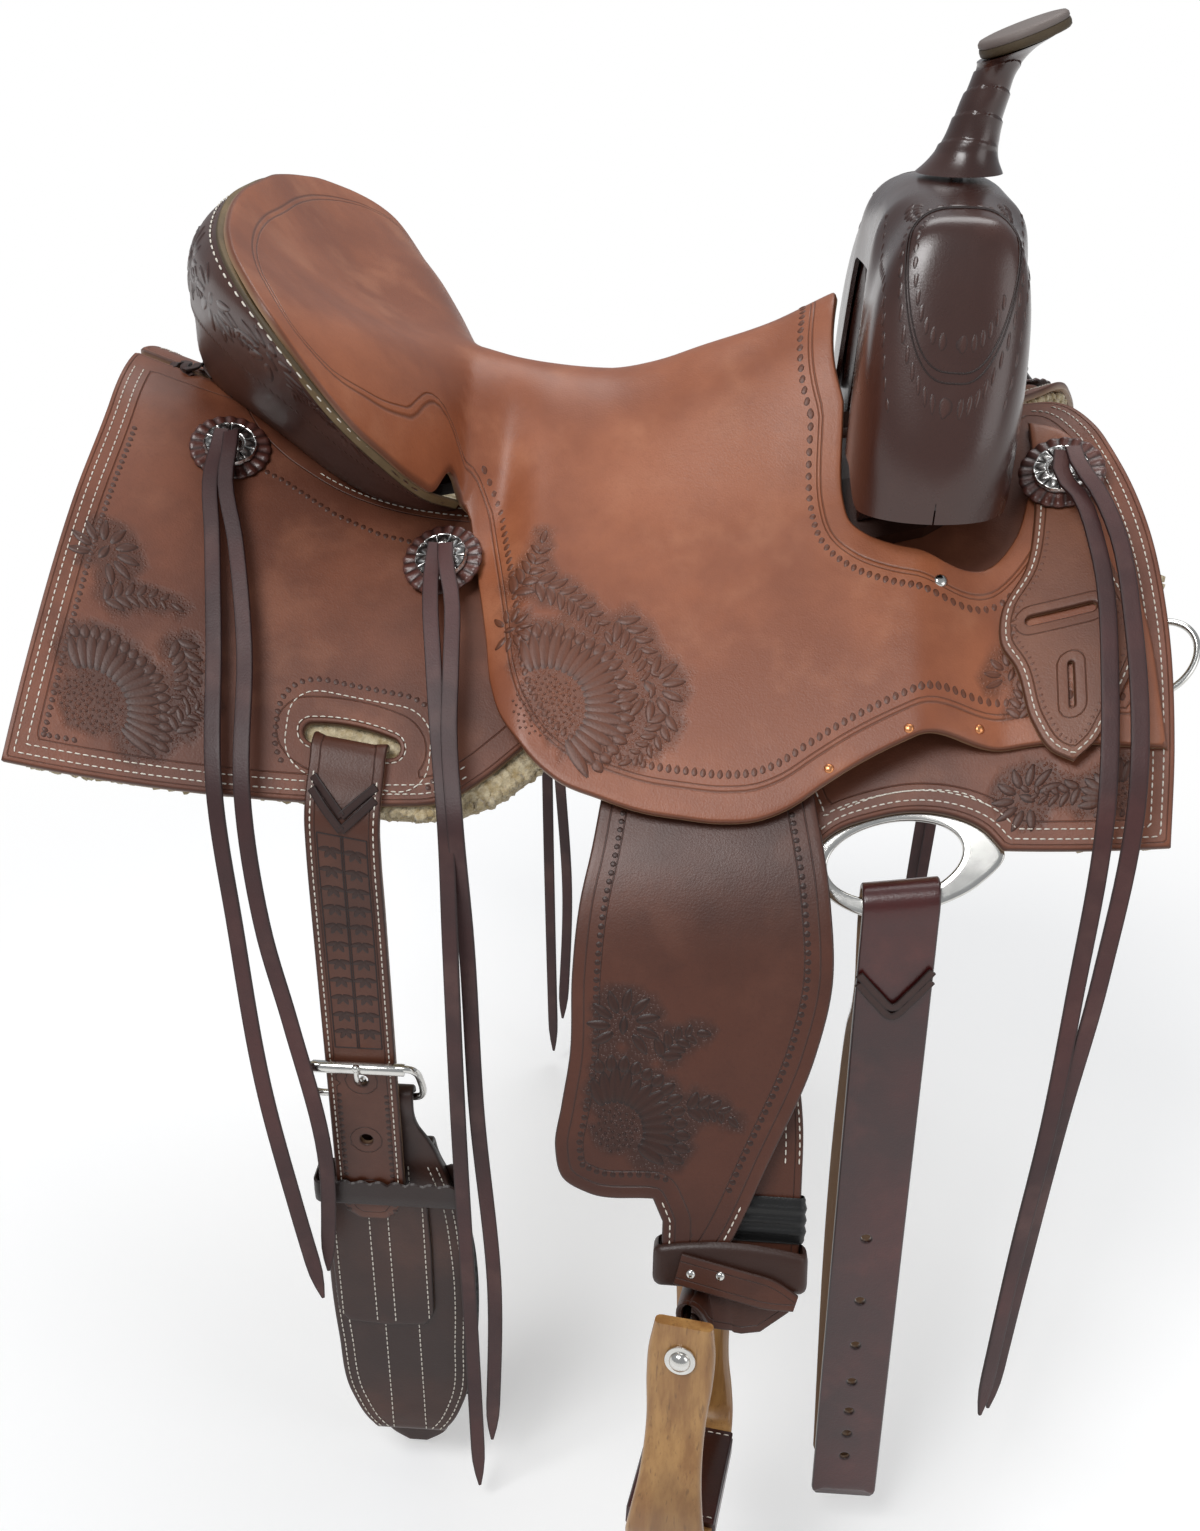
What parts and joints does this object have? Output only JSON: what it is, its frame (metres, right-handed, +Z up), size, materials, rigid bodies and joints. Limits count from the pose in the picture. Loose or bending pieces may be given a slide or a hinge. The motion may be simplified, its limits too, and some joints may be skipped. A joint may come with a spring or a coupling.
{
  "type": "barrel racing saddle",
  "caption": "Western barrel racing saddle with a deep seat, swell fork and horn, swinging fenders with stirrups, rigging plates, billets and a buckled flank cinch.",
  "frame": {"origin": "on the top line of the horse's back, under the lowest part of the seat, at the mount horse_back", "axes": "+X towards the horse's head, +Z up, -Y the off (right) side, which faces the picture's camera"},
  "size_m": [0.6884, 0.8932, 0.98],
  "materials": {
    "burgundy_leather": "burgundy latigo leather",
    "dark_leather": "dark oiled leather",
    "engraved_silver": "engraved silver plate",
    "fleece": "dense sheepskin-type fleece",
    "light_leather": "semi-gloss tooled russet leather",
    "skirt_leather": "tooled chestnut leather",
    "stainless_steel": "polished stainless steel",
    "stirrup_wood": "oiled honey-coloured hardwood",
    "tree_wood": "sealed wood"
  },
  "bodies": {
    "saddle": {"fleece_lining_off": "fleece", "skirt_off": "skirt_leather", "tree_bar_off": "tree_wood", "rigging_plate_off": "stainless_steel", "breast_collar_dee_off": "stainless_steel", "latigo_keeper_off": "skirt_leather", "rosette_rear_off": "dark_leather", "concho_rear_off": "engraved_silver", "rosette_mid_off": "dark_leather", "concho_mid_off": "engraved_silver", "rosette_front_off": "dark_leather", "concho_front_off": "engraved_silver", "string_rear_off": "burgundy_leather", "string_mid_off": "burgundy_leather", "string_front_off": "burgundy_leather", "fleece_lining_near": "fleece", "skirt_near": "skirt_leather", "tree_bar_near": "tree_wood", "rigging_plate_near": "stainless_steel", "breast_collar_dee_near": "stainless_steel", "latigo_keeper_near": "skirt_leather", "rosette_rear_near": "dark_leather", "concho_rear_near": "engraved_silver", "rosette_mid_near": "dark_leather", "concho_mid_near": "engraved_silver", "rosette_front_near": "dark_leather", "concho_front_near": "engraved_silver", "string_rear_near": "burgundy_leather", "string_mid_near": "burgundy_leather", "string_front_near": "burgundy_leather", "fork": "tree_wood", "swell_cover": "dark_leather", "horn_wrap": "dark_leather", "horn_core": "stainless_steel", "cantle_back": "dark_leather", "cantle_board": "tree_wood", "seat": "light_leather", "ground_seat": "stainless_steel"},
    "fender_off": {"fender_off": "light_leather", "stirrup_leather_off": "dark_leather", "hobble_strap_off": "dark_leather"},
    "leather_buckle_off": {"leather_buckle_off": "stainless_steel"},
    "stirrup_off": {"stirrup_off": "stirrup_wood", "tread_cover_off": "burgundy_leather", "stirrup_bolt_off": "stainless_steel"},
    "fender_near": {"fender_near": "light_leather", "stirrup_leather_near": "dark_leather", "hobble_strap_near": "dark_leather"},
    "leather_buckle_near": {"leather_buckle_near": "stainless_steel"},
    "stirrup_near": {"stirrup_near": "stirrup_wood", "tread_cover_near": "burgundy_leather", "stirrup_bolt_near": "stainless_steel"},
    "off_billet": {"off_billet": "burgundy_leather"},
    "flank_billet_off": {"flank_billet_off": "light_leather", "buckle_frame": "stainless_steel", "buckle_tongue": "stainless_steel", "flank_cinch": "dark_leather", "cinch_keeper": "dark_leather"},
    "buckle_roller": {"buckle_roller": "stainless_steel"}
  },
  "joints": [
    {"name": "fender_swing_off", "type": "hinge", "parent": "saddle", "child": "fender_off", "pos_m": [0.075, -0.11436, -0.02046], "axis": [-0.1501, -0.6615, 0.7347], "range_deg": [-15, 15]},
    {"name": "leather_buckle_slide_off", "type": "slide", "parent": "fender_off", "child": "leather_buckle_off", "axis": [0, 0.3746, 0.9272], "range_m": [0, 0.02]},
    {"name": "stirrup_tilt_off", "type": "hinge", "parent": "fender_off", "child": "stirrup_off", "pos_m": [0.077, -0.359, -0.391], "axis": [-0.1392, -0.9752, 0.172], "range_deg": [-35, 35]},
    {"name": "fender_swing_near", "type": "hinge", "parent": "saddle", "child": "fender_near", "pos_m": [0.075, 0.11436, -0.02046], "axis": [0.1501, -0.6615, -0.7347], "range_deg": [-15, 15]},
    {"name": "leather_buckle_slide_near", "type": "slide", "parent": "fender_near", "child": "leather_buckle_near", "axis": [0, -0.3746, 0.9272], "range_m": [0, 0.02]},
    {"name": "stirrup_tilt_near", "type": "hinge", "parent": "fender_near", "child": "stirrup_near", "pos_m": [0.077, 0.359, -0.391], "axis": [0.1392, -0.9752, -0.172], "range_deg": [-35, 35]},
    {"name": "off_billet_swing", "type": "hinge", "parent": "saddle", "child": "off_billet", "pos_m": [0.186, -0.26064, -0.16914], "axis": [0.9889, 0, 0.1483], "range_deg": [-60, 20]},
    {"name": "flank_billet_swing", "type": "hinge", "parent": "saddle", "child": "flank_billet_off", "pos_m": [-0.141, -0.20836, -0.10356], "axis": [-0.9855, 0, 0.1698], "range_deg": [0, 60]},
    {"name": "buckle_roller_spin", "type": "hinge", "parent": "flank_billet_off", "child": "buckle_roller", "pos_m": [-0.141, -0.25877, -0.31], "axis": [1, 0, 0], "continuous": true}
  ]
}
